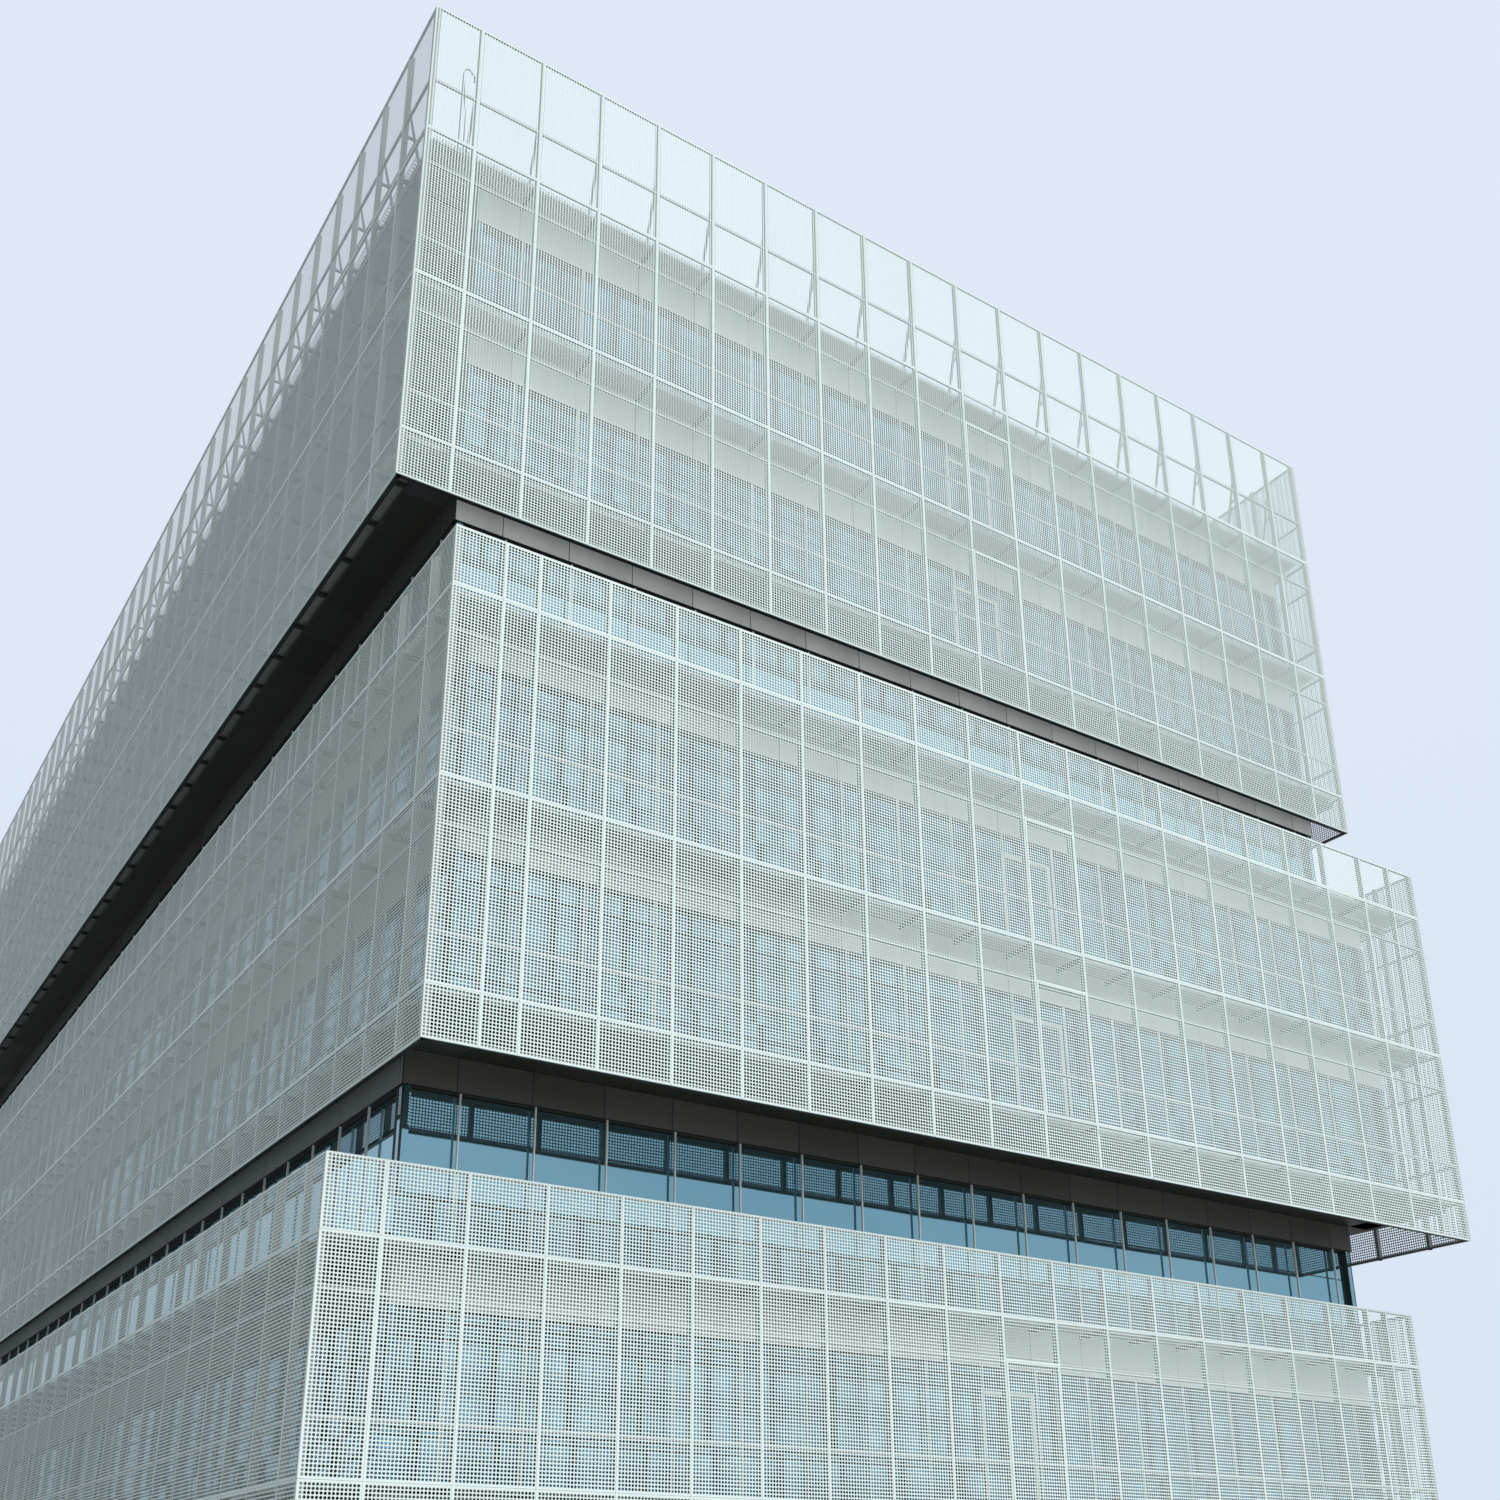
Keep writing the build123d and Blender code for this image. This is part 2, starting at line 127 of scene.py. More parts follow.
def weather_group():
    """Weather on a smooth finish: rain streaks that run down, faint clouding, and a tone for each panel."""
    group = bpy.data.node_groups.new("weather", "ShaderNodeTree")
    colour = group.interface.new_socket("Colour", in_out="INPUT", socket_type="NodeSocketColor")
    colour.default_value = (1, 1, 1, 1)
    for label, value in (("Streaks", 0.1), ("Clouding", 0.1), ("Panel Tone", 0.1), ("Streak Scale", 8.0)):
        socket = group.interface.new_socket(label, in_out="INPUT", socket_type="NodeSocketFloat")
        socket.default_value = value
    for label, kind in (("Colour", "NodeSocketColor"), ("Wear", "NodeSocketFloat")):
        group.interface.new_socket(label, in_out="OUTPUT", socket_type=kind)
    new, link = group.nodes.new, group.links.new
    given, result = new("NodeGroupInput"), new("NodeGroupOutput")
    place, stretch = new("ShaderNodeTexCoord"), new("ShaderNodeMapping")
    stretch.inputs["Scale"].default_value = (1, 1, 0.06)
    streak, cloud, tone = new("ShaderNodeTexNoise"), new("ShaderNodeTexNoise"), new("ShaderNodeAttribute")
    streak.inputs["Detail"].default_value = 5
    cloud.inputs["Scale"].default_value, cloud.inputs["Detail"].default_value = 0.7, 4
    tone.attribute_name = "tone"
    link(place.outputs["Object"], stretch.inputs["Vector"])
    link(stretch.outputs["Vector"], streak.inputs["Vector"])
    link(place.outputs["Object"], cloud.inputs["Vector"])
    link(given.outputs["Streak Scale"], streak.inputs["Scale"])
    total = None
    for source, amount in ((streak.outputs["Fac"], "Streaks"), (cloud.outputs["Fac"], "Clouding"),
                           (tone.outputs["Fac"], "Panel Tone")):
        middle, share = new("ShaderNodeMath"), new("ShaderNodeMath")
        middle.operation, share.operation = "SUBTRACT", "MULTIPLY"
        middle.inputs[1].default_value = 0.5
        link(source, middle.inputs[0])
        link(middle.outputs[0], share.inputs[0])
        link(given.outputs[amount], share.inputs[1])
        if total is not None:
            added = new("ShaderNodeMath")
            link(total, added.inputs[0])
            link(share.outputs[0], added.inputs[1])
            share = added
        total = share.outputs[0]
    factor, scaled = new("ShaderNodeMath"), new("ShaderNodeVectorMath")
    factor.inputs[1].default_value = 1.0
    scaled.operation = "SCALE"
    link(total, factor.inputs[0])
    link(given.outputs["Colour"], scaled.inputs[0])
    link(factor.outputs[0], scaled.inputs["Scale"])
    link(scaled.outputs[0], result.inputs["Colour"])
    link(total, result.inputs["Wear"])
    return group


weather = weather_group()


def weathered(name, colour, roughness, metallic=0.0, streaks=0.1, clouding=0.1, panel_tone=0.0,
              streak_scale=8.0):
    """A finish with the building's weather on its colour and its roughness."""
    material = bpy.data.materials.new(name)
    material.use_nodes = True
    new, link = material.node_tree.nodes.new, material.node_tree.links.new
    shader = material.node_tree.nodes["Principled BSDF"]
    shader.inputs["Metallic"].default_value = metallic
    worn, rough = new("ShaderNodeGroup"), new("ShaderNodeMath")
    worn.node_tree = weather
    for label, value in (("Colour", (*colour, 1)), ("Streaks", streaks), ("Clouding", clouding),
                         ("Panel Tone", panel_tone), ("Streak Scale", streak_scale)):
        worn.inputs[label].default_value = value
    rough.inputs[1].default_value = roughness
    link(worn.outputs["Colour"], shader.inputs["Base Color"])
    link(worn.outputs["Wear"], rough.inputs[0])
    link(rough.outputs[0], shader.inputs["Roughness"])
    return material


def repaint(material, *names):
    """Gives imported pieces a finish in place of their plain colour."""
    for name in names:
        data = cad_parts[name].data
        data.materials.clear()
        data.materials.append(material)


def relief(material, texture, output, depth):
    """Presses a texture into a finish as a shallow bump."""
    bump = material.node_tree.nodes.new("ShaderNodeBump")
    bump.inputs["Strength"].default_value, bump.inputs["Distance"].default_value = 0.5, depth
    material.node_tree.links.new(texture.outputs[output], bump.inputs["Height"])
    material.node_tree.links.new(bump.outputs["Normal"],
                                 material.node_tree.nodes["Principled BSDF"].inputs["Normal"])


concrete = weathered("struck_concrete", (0.36, 0.35, 0.33), 0.85, streaks=0.25, clouding=0.3,
                     streak_scale=3.0)
board_marks = concrete.node_tree.nodes.new("ShaderNodeTexWave")
board_marks.inputs["Scale"].default_value, board_marks.inputs["Distortion"].default_value = 3.2, 0.6
board_marks.wave_profile = "SAW"
relief(concrete, board_marks, "Fac", 0.002)
repaint(concrete, "columns", *[f"{block}_floors" for block in BLOCKS])

# The wall bands over and under the windows are clad in panels, one to a bay, pale at the ends and painted
# grey along the sides as painted shade. They hang on rails over a sealed dark backing, so that narrow shadow
# gaps show between them.
bay, storey, storeys, most_lines = 0.75, 1.95, 8, 41
first_line = {"x": -6.65, "y": -13.5}
corner_clear, near = 0.05, 0.01
panel_gap, panel_thickness, least_band = 0.008, 0.006, 0.1
window_sill, window_head = 0.475, 1.475
recess_storeys = {"lower": storey * 2, "upper": storey * 5}
SIDES = ("front", "back", "left", "right")


class Face:
    """One side of a box of the building, in its own measures: along it to the right, up, and outwards."""

    def __init__(self, lo, hi, side):
        place = {"front": ((lo.x, lo.y), (1, 0)), "back": ((hi.x, hi.y), (-1, 0)),
                 "left": ((lo.x, hi.y), (0, -1)), "right": ((hi.x, lo.y), (0, 1))}
        corner, along = place[side]
        self.side = side
        self.corner, self.along = Vector((*corner, 0)), Vector((*along, 0))
        self.out = self.along.cross(Vector((0, 0, 1)))
        self.length = abs((hi - lo).dot(self.along))
        axis = "x" if along[0] else "y"
        start, sign = getattr(self.corner, axis), along[0] + along[1]
        marks = [(first_line[axis] + bay * i - start) * sign for i in range(-1, most_lines)]
        self.lines = sorted(mark for mark in marks if corner_clear < mark < self.length - corner_clear)

    def at(self, along, up, out=0.0):
        return self.corner + self.along * along + self.out * out + Vector((0, 0, up))


def block_faces(lo, hi):
    return [Face(lo, hi, side) for side in SIDES]


luck = random.Random(7)


def new_drawing():
    """An empty mesh to draw in, with a tone for each face."""
    mesh = bmesh.new()
    mesh.faces.layers.float.new("tone")
    return mesh


def add_bar(mesh, face, along, up, out, tone=0.5, finish=0):
    """A box on a face, from three pairs of limits, in one of its piece's finishes."""
    shade = mesh.faces.layers.float["tone"]
    corners = [mesh.verts.new(face.at(a, z, d)) for z in up for d in out for a in along]
    for quad in ((0, 1, 3, 2), (4, 6, 7, 5), (2, 3, 7, 6), (0, 4, 5, 1), (0, 2, 6, 4), (1, 5, 7, 3)):
        side = mesh.faces.new([corners[i] for i in quad])
        side[shade], side.material_index = tone, finish


def own(piece, stands_for=()):
    """Makes a finished mesh a piece of the building, and hides the imported parts it stands for."""
    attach(piece, "root")
    if stands_for:
        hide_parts(*stands_for)


def finish_piece(mesh, name, materials, stands_for=(), closed=True):
    """Turns a drawing into a piece; the faces of closed solids are all turned outwards."""
    if closed:
        bmesh.ops.recalc_face_normals(mesh, faces=mesh.faces)
    data = bpy.data.meshes.new(name)
    mesh.to_mesh(data)
    mesh.free()
    for material in materials:
        data.materials.append(material)
    piece = bpy.data.objects.new(name, data)
    bpy.context.scene.collection.objects.link(piece)
    own(piece, stands_for)


def wall_box(block):
    """Outer box of a block's body."""
    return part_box(f"{block}_end_walls")


def window_levels(block):
    """Floor levels of the storeys whose windows are in a block's walls."""
    lo, hi = wall_box(block)
    return [storey * n for n in range(storeys) if lo.z - near <= storey * n < hi.z - window_head]


def on_long_side(face):
    """1 for the left and right sides, whose finish is the second of a piece's, and 0 for the others."""
    return int(face.side in ("left", "right"))


backing = weathered("wall_backing", (0.05, 0.05, 0.048), 0.9)
pale_cladding = weathered("pale_cladding", (0.74, 0.76, 0.72), 0.55, streaks=0.14, panel_tone=0.12)
# The long sides' panels are the same cladding painted grey: painted shade for the sides the key light misses.
grey_cladding = weathered("grey_cladding", (0.36, 0.37, 0.36), 0.55, streaks=0.14, panel_tone=0.12)
for block in BLOCKS:
    lo, hi = wall_box(block)
    bands, foot = [], lo.z
    for base in window_levels(block):
        bands.append((foot, base + (0 if base else window_sill)))
        foot = base + window_head
    bands.append((foot, hi.z))
    fascia_foot = recess_storeys.get(block, -storey) + window_head
    bands = [(low, high) for low, high in bands
             if high - low >= least_band and abs(low - fascia_foot) >= near]
    mesh = new_drawing()
    for face in block_faces(lo, hi):
        edges = [0] + face.lines + [face.length]
        for low, high in bands:
            for start, end in zip(edges, edges[1:]):
                add_bar(mesh, face, (start + panel_gap / 2, end - panel_gap / 2),
                        (low + panel_gap, high - panel_gap), (0, panel_thickness), luck.random(),
                        on_long_side(face))
    finish_piece(mesh, f"{block}_cladding", [pale_cladding, grey_cladding])
    repaint(backing, f"{block}_end_walls", f"{block}_side_walls")

# The windows: one band of tinted, mirrored glass a storey, held in dark frames with a transom in the upper
# half. Glass also faces the corner piers and, above the ground storey, the wall below the sills. Slim pale
# mullions, a little aside of the screens' grid, run over it from floor to head. A broad pale sash frame
# marks the rescue windows of the front, which the lower recess doesn't have.
mullion_width, mullion_depth, mullion_out, mullion_foot, clear_of_fascia = 0.013, 0.022, 0.004, 0.02, 0.05
frame_bar, transom_bar, frame_thickness, cill_height, cill_out = 0.018, 0.010, 0.006, 0.004, 0.008
glass_setback, corner_pier, corner_bead, bead_out = 0.06, 0.075, 0.014, 0.005
glass_thickness, glass_gap, glass_back, glass_under_cill = 0.004, 0.003, 0.001, 0.008
rescue_bay, sash_width, sash_gap, sash_face = (9, 10), 0.045, 0.01, (0.009, 0.018)
sash_head, recess_transom, body_aside = 1.235, 1.10, 0.045
dark_frame = weathered("dark_window_frame", (0.012, 0.014, 0.015), 0.35)
pale_mullion = weathered("pale_mullion", (0.80, 0.81, 0.78), 0.4)


def tinted_glass():
    """Blue solar glass: a mirror coat, faintly rippled by the rollers, with a little of the room behind."""
    material = bpy.data.materials.new("tinted_glass")
    material.use_nodes = True
    new, link = material.node_tree.nodes.new, material.node_tree.links.new
    shader = material.node_tree.nodes["Principled BSDF"]
    shader.inputs["Metallic"].default_value = 0.9
    shader.inputs["Roughness"].default_value = 0.02
    shader.inputs["Alpha"].default_value = 0.85
    place, waves, colours = new("ShaderNodeTexCoord"), new("ShaderNodeTexNoise"), new("ShaderNodeMix")
    waves.inputs["Scale"].default_value = 0.45
    colours.data_type = "RGBA"
    colours.inputs["A"].default_value = (0.21, 0.42, 0.50, 1)
    colours.inputs["B"].default_value = (0.32, 0.55, 0.62, 1)
    link(place.outputs["Object"], waves.inputs["Vector"])
    link(waves.outputs["Fac"], colours.inputs["Factor"])
    link(colours.outputs["Result"], shader.inputs["Base Color"])
    relief(material, waves, "Fac", 0.01)
    return material


class Guides:
    """Straight guide lines for rows of bars, each with the direction of its side and the bars' stretch."""

    def __init__(self):
        self.ends, self.along, self.stretch = [], [], []

    def add(self, face, start, end, stretch=(1, 1, 1)):
        self.ends += [face.at(*start), face.at(*end)]
        self.along += [*face.along] * 2
        self.stretch += [*stretch] * 2

    def mesh(self, name):
        data = bpy.data.meshes.new(name)
        data.from_pydata(self.ends, [(i, i + 1) for i in range(0, len(self.ends), 2)], [])
        for label, values in (("along", self.along), ("stretch", self.stretch)):
            data.attributes.new(label, "FLOAT_VECTOR", "POINT").data.foreach_set("vector", values)
        return data


def row_tree(name, sizes):
    """Starts a node tree that sets copies at even steps on guide lines and ends in real, painted ones."""
    tree = bpy.data.node_groups.new(name, "GeometryNodeTree")
    tree.interface.new_socket("Guides", in_out="INPUT", socket_type="NodeSocketGeometry")
    for label, value in sizes:
        kind = "NodeSocketInt" if isinstance(value, int) else "NodeSocketFloat"
        tree.interface.new_socket(label, in_out="INPUT", socket_type=kind).default_value = value
    tree.interface.new_socket("Finish", in_out="INPUT", socket_type="NodeSocketMaterial")
    tree.interface.new_socket("Row", in_out="OUTPUT", socket_type="NodeSocketGeometry")
    new, link = tree.nodes.new, tree.links.new
    given, result = new("NodeGroupInput"), new("NodeGroupOutput")
    lines, steps, place = (new("GeometryNodeMeshToCurve"), new("GeometryNodeResampleCurve"),
                           new("GeometryNodeInstanceOnPoints"))
    steps.mode = "LENGTH"
    real, paint = new("GeometryNodeRealizeInstances"), new("GeometryNodeSetMaterial")
    for source, target in ((given.outputs["Guides"], lines.inputs["Mesh"]),
                           (lines.outputs["Curve"], steps.inputs["Curve"]),
                           (given.outputs["Step"], steps.inputs["Length"]),
                           (steps.outputs["Curve"], place.inputs["Points"]),
                           (real.outputs["Geometry"], paint.inputs["Geometry"]),
                           (given.outputs["Finish"], paint.inputs["Material"]),
                           (paint.outputs["Geometry"], result.inputs["Row"])):
        link(source, target)
    return tree, given, place, real


def line_value(tree, label):
    """Node that reads a direction or a stretch kept on the guide lines."""
    node = tree.nodes.new("GeometryNodeInputNamedAttribute")
    node.data_type = "FLOAT_VECTOR"
    node.inputs["Name"].default_value = label
    return node


def bar_row_tree():
    """Node tree for bars at even steps along guide lines: each hangs from its line and faces its side."""
    tree, given, place, real = row_tree("bar_row", (
        ("Step", 0.75), ("Width", 0.02), ("Depth", 0.02), ("Height", 1.0), ("Least Share", 1.0), ("Seed", 1)))
    new, link = tree.nodes.new, tree.links.new
    size, bar, half, drop, hang = (new("ShaderNodeCombineXYZ"), new("GeometryNodeMeshCube"),
                                   new("ShaderNodeMath"), new("ShaderNodeCombineXYZ"),
                                   new("GeometryNodeTransform"))
    half.operation = "MULTIPLY"
    half.inputs[1].default_value = -0.5
    for axis, label in (("X", "Width"), ("Y", "Depth"), ("Z", "Height")):
        link(given.outputs[label], size.inputs[axis])
    turn = new("FunctionNodeAlignRotationToVector")
    turn.axis, turn.pivot_axis = "X", "Z"
    share, only_down, scale = (new("FunctionNodeRandomValue"), new("ShaderNodeCombineXYZ"),
                               new("ShaderNodeVectorMath"))
    share.inputs[3].default_value = 1.0
    only_down.inputs["X"].default_value = only_down.inputs["Y"].default_value = 1.0
    scale.operation = "MULTIPLY"
    shade, tone = new("FunctionNodeRandomValue"), new("GeometryNodeStoreNamedAttribute")
    tone.data_type, tone.domain = "FLOAT", "INSTANCE"
    tone.inputs["Name"].default_value = "tone"
    for source, target in ((size.outputs[0], bar.inputs["Size"]),
                           (given.outputs["Height"], half.inputs[0]),
                           (half.outputs[0], drop.inputs["Z"]),
                           (bar.outputs["Mesh"], hang.inputs["Geometry"]),
                           (drop.outputs[0], hang.inputs["Translation"]),
                           (line_value(tree, "along").outputs["Attribute"], turn.inputs["Vector"]),
                           (given.outputs["Least Share"], share.inputs[2]),
                           (given.outputs["Seed"], share.inputs["Seed"]),
                           (share.outputs[1], only_down.inputs["Z"]),
                           (line_value(tree, "stretch").outputs["Attribute"], scale.inputs[0]),
                           (only_down.outputs[0], scale.inputs[1]),
                           (hang.outputs["Geometry"], place.inputs["Instance"]),
                           (turn.outputs["Rotation"], place.inputs["Rotation"]),
                           (scale.outputs[0], place.inputs["Scale"]),
                           (place.outputs["Instances"], tone.inputs["Geometry"]),
                           (given.outputs["Seed"], shade.inputs["Seed"]),
                           (shade.outputs[1], tone.inputs["Value"]),
                           (tone.outputs["Geometry"], real.inputs["Geometry"])):
        link(source, target)
    return tree


bar_row = bar_row_tree()


def grow(tree, guides, name, slot, stands_for=(), **sizes):
    """Runs a node tree on guide lines and keeps what it makes as the plain mesh of a piece."""
    piece = bpy.data.objects.new(name, guides.mesh(name))
    bpy.context.scene.collection.objects.link(piece)
    rows = piece.modifiers.new("rows", "NODES")
    rows.node_group = tree
    for socket in tree.interface.items_tree:
        if socket.in_out == "INPUT" and socket.name.replace(" ", "_").lower() in sizes:
            rows[socket.identifier] = sizes[socket.name.replace(" ", "_").lower()]
    made = bpy.data.meshes.new_from_object(piece.evaluated_get(bpy.context.evaluated_depsgraph_get()))
    piece.modifiers.remove(rows)
    piece.data = made
    own(piece, stands_for)


just_under = 0.9999  # keeps the last bar of a row whose length is a whole number of steps
solar_glass = tinted_glass()
repaint(solar_glass, *[f"{block}_glazing" for block in BLOCKS])
rescue_start, rescue_end = (first_line["x"] + bay * number for number in rescue_bay)
for block in BLOCKS:
    mullions, frames, panes, sashes = Guides(), new_drawing(), new_drawing(), new_drawing()
    lo, hi = wall_box(block)
    for face in block_faces(lo, hi):
        inner = [line for line in face.lines if corner_pier < line < face.length - corner_pier]
        ends = (corner_pier, face.length - corner_pier)
        aside = {"front": body_aside, "back": -body_aside}.get(face.side, 0)
        for base in window_levels(block):
            sill, head = base + window_sill, base + window_head
            foot = base + mullion_foot if base > lo.z else sill
            in_recess = base == recess_storeys.get(block)
            transom = base + (recess_transom if in_recess else sash_head)
            top = head - (clear_of_fascia if in_recess and block == "upper" else 0)
            mullions.add(face, (inner[0] + aside, top, mullion_out), (inner[-1] + aside, top, mullion_out),
                         (1, 1, (top - foot) / window_head))
            for low, high in ((sill, sill + frame_bar), (head - frame_bar, head),
                              (transom, transom + transom_bar)):
                add_bar(frames, face, ends, (low, high), (-glass_setback, frame_thickness - glass_setback))
            add_bar(frames, face, ends, (sill - cill_height, sill), (-glass_setback, cill_out))
            for start, bead in ((corner_bead, 0), (face.length - corner_pier, face.length - corner_bead)):
                add_bar(panes, face, (start, start + corner_pier - corner_bead), (sill, head),
                        (0, glass_thickness))
                add_bar(frames, face, (bead, bead + corner_bead), (sill, head), (0, bead_out))
            if foot < sill:
                for start, end in zip([0.0] + inner, inner + [face.length]):
                    add_bar(panes, face, (start + glass_gap, end - glass_gap),
                            (foot, sill - glass_under_cill), (glass_back, glass_thickness), luck.random())
            if face.side == "front" and foot < sill and not (in_recess and block == "lower"):
                left, right = rescue_start - lo.x + sash_gap, rescue_end - lo.x - sash_gap
                top = base + sash_head
                for start, end, low in ((left, left + sash_width, foot), (right - sash_width, right, foot),
                                        (left + sash_width, right - sash_width, top - sash_width)):
                    add_bar(sashes, face, (start, end), (low, top), sash_face)
    grow(bar_row, mullions, f"{block}_mullions", "screen_frame", step=bay * just_under, width=mullion_width,
         depth=mullion_depth, height=window_head, finish=pale_mullion)
    finish_piece(frames, f"{block}_window_frames", [dark_frame])
    finish_piece(panes, f"{block}_spandrel_glass", [solar_glass])
    finish_piece(sashes, f"{block}_rescue_sashes", [pale_mullion])

# Roller blinds of light grey cloth hang behind the glass, one to a bay, from the head of the window. Each is
# drawn down by its own amount, between a sliver and nearly the whole height.
blind_setback, blind_gap, blind_thickness, full_drop, least_drop = 0.11, 0.04, 0.002, 0.9, 0.04
blind_cloth = weathered("blind_cloth", (0.50, 0.50, 0.47), 0.9)
weave = blind_cloth.node_tree.nodes.new("ShaderNodeTexChecker")
weave.inputs["Scale"].default_value = 400
relief(blind_cloth, weave, "Fac", 0.0005)
for number, block in enumerate(BLOCKS):
    blinds = Guides()
    for face in block_faces(*wall_box(block)):
        for base in window_levels(block):
            start, end = face.lines[1] + bay / 2, face.lines[-2] - bay / 2
            head = base + window_head
            blinds.add(face, (start, head, -blind_setback), (end, head, -blind_setback))
    grow(bar_row, blinds, f"{block}_blinds", "wall_band", step=bay * just_under, width=bay - blind_gap,
         depth=blind_thickness, height=full_drop, least_share=least_drop, seed=11 + number,
         finish=blind_cloth)

# Fascia panels over the windows of both recesses, each a bay long with a narrow open joint over a black
# backing. The upper recess's are light grey at the ends and painted black along the sides as painted shade,
# and lap the windows' heads. The lower recess's are dark bronze at the ends and slate grey along the sides,
# both painted darker than the upper ones as painted shade under the overhang.
slab_thickness, soffit_thickness, under_soffit = 0.125, 0.015, 0.008
fascia_thickness, fascia_cover, fascia_end, fascia_joint = 0.02, 0.004, 0.002, 0.009
fascia_lap = {"lower": -0.008, "upper": 0.028}
fascia_light = weathered("grey_fascia_panel", (0.60, 0.635, 0.625), 0.45, streaks=0.15, panel_tone=0.06)
# The bronze, slate and black finishes are painted shade: darker copies of the one fascia for its shaded
# places.
fascia_bronze_painted_shade = weathered("bronze_fascia_panel", (0.105, 0.103, 0.092), 0.4, streaks=0.15, panel_tone=0.2)
fascia_slate_painted_shade = weathered("slate_fascia_panel", (0.165, 0.185, 0.178), 0.4, streaks=0.15, panel_tone=0.15)
fascia_black_painted_shade = weathered("black_fascia_panel", (0.050, 0.053, 0.047), 0.4, streaks=0.15, panel_tone=0.2)
joint_black = weathered("joint_black", (0.01, 0.01, 0.01), 0.7)
repaint(joint_black, "recess_fascias")
for block, finishes in (("lower", (fascia_bronze_painted_shade, fascia_slate_painted_shade)), ("upper", (fascia_light, fascia_black_painted_shade))):
    lo, hi = wall_box(block)
    outwards = Vector((fascia_thickness, fascia_thickness, 0))
    foot = recess_storeys[block] + window_head - fascia_lap[block]
    head = recess_storeys[block] + storey - slab_thickness - soffit_thickness - under_soffit
    mesh = new_drawing()
    for face in block_faces(lo - outwards, hi + outwards):
        edges = [fascia_end] + face.lines + [face.length - fascia_end]
        for start, end in zip(edges, edges[1:]):
            add_bar(mesh, face, (start + fascia_joint / 2, end - fascia_joint / 2), (foot, head),
                    (0, fascia_cover), luck.random(), on_long_side(face))
    finish_piece(mesh, f"{block}_fascia_panels", finishes)

# Soffits: near-black ceiling panels under the overhangs, a bay long, hung with narrow joints between them
# from a dark grey backing whose upstand closes their outer edge.
soffit_gap, soffit_cover, past_fascia, outer_margin = 0.005, 0.004, 0.024, 0.010
soffit_black = weathered("soffit_panel", (0.034, 0.035, 0.028), 0.5, panel_tone=0.3)
backing_grey = weathered("soffit_backing", (0.045, 0.052, 0.052), 0.6)
repaint(backing_grey, "middle_soffit", "upper_soffit")


def overhangs(outer, inner):
    """How far an outer box stands out from an inner one on each side."""
    (lo, hi), (inner_lo, inner_hi) = outer, inner
    return {"front": inner_lo.y - lo.y, "back": hi.y - inner_hi.y, "left": inner_lo.x - lo.x,
            "right": hi.x - inner_hi.x}


for block, body in (("middle", "lower"), ("upper", "upper")):
    lo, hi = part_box(f"{block}_soffit")
    depths = overhangs((lo, hi), wall_box(body))
    panels = Guides()
    for face in block_faces(lo, hi):
        margin = depths["front" if on_long_side(face) else "left"]
        marks = [line for line in face.lines if margin - bay < line < face.length - margin + bay]
        centre = -(depths[face.side] - past_fascia) / 2
        panels.add(face, (marks[0] + bay / 2, lo.z, centre), (marks[-1] - bay / 2, lo.z, centre),
                   (1, depths[face.side] - past_fascia - outer_margin, 1))
    grow(bar_row, panels, f"{block}_soffit_panels", "dark_soffit", step=bay * just_under,
         width=bay - soffit_gap, depth=1.0, height=soffit_cover, seed=5, finish=soffit_black)

# Galleries: galvanised walkways between body and screen. A tread plate lies on bearing bars on edge, which
# span from arm to arm, with flats across and a bar along each edge. Steel arms at every post carry it, and
# the flats reach on to the posts as an open strip.
grating_step, grating_bar, rod_step, rod_width, rod_depth = 0.0165, 0.002, 0.05, 0.004, 0.010
tread, tread_under_top, bars_under_tread, open_strip, strip_bar = 0.002, 0.001, 0.001, 0.046, 0.017
deck_depth, edge_bar, edge_gap, inner_edge_drop = 0.02, 0.006, 0.001, 0.012
arm_width, arm_depth, end_gap, past_wall = 0.03, 0.05, 0.004, 0.008
galvanised = weathered("galvanised_grating", (0.50, 0.525, 0.52), 0.55, streaks=0.3, clouding=0.2)
spangle = galvanised.node_tree.nodes.new("ShaderNodeTexVoronoi")
spangle.inputs["Scale"].default_value = 90
relief(galvanised, spangle, "Distance", 0.0006)
edge_steel = weathered("galvanised_edge", (0.72, 0.75, 0.74), 0.5, streaks=0.2)
arm_paint = weathered("bracket_paint", (0.060, 0.065, 0.065), 0.5)
edge_bay_min, corner_bay, post_width, frame_depth = 0.45, 0.515, 0.045, 0.064


def post_lines(face):
    """Where the posts of one side stand, with a narrow bay at a corner where one is left over."""
    lines = [mark for mark in face.lines if edge_bay_min <= mark <= face.length - edge_bay_min]
    if lines[0] > bay + post_width:
        lines.insert(0, corner_bay)
    if face.length - lines[-1] > bay + post_width:
        lines.append(face.length - corner_bay)
    return lines


def screen_box(block):
    """Outer box of a block's screens."""
    corners = [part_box(f"{block}_screen_{side}") for side in SIDES]
    return (Vector([min(box[0][i] for box in corners) for i in range(3)]),
            Vector([max(box[1][i] for box in corners) for i in range(3)]))


def deck_levels(block):
    """Floor levels with a gallery behind a block's screens."""
    lo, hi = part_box(f"{block}_gallery_decks")
    return [storey * n for n in range(1, storeys + 1) if lo.z - near < storey * n < hi.z + near]


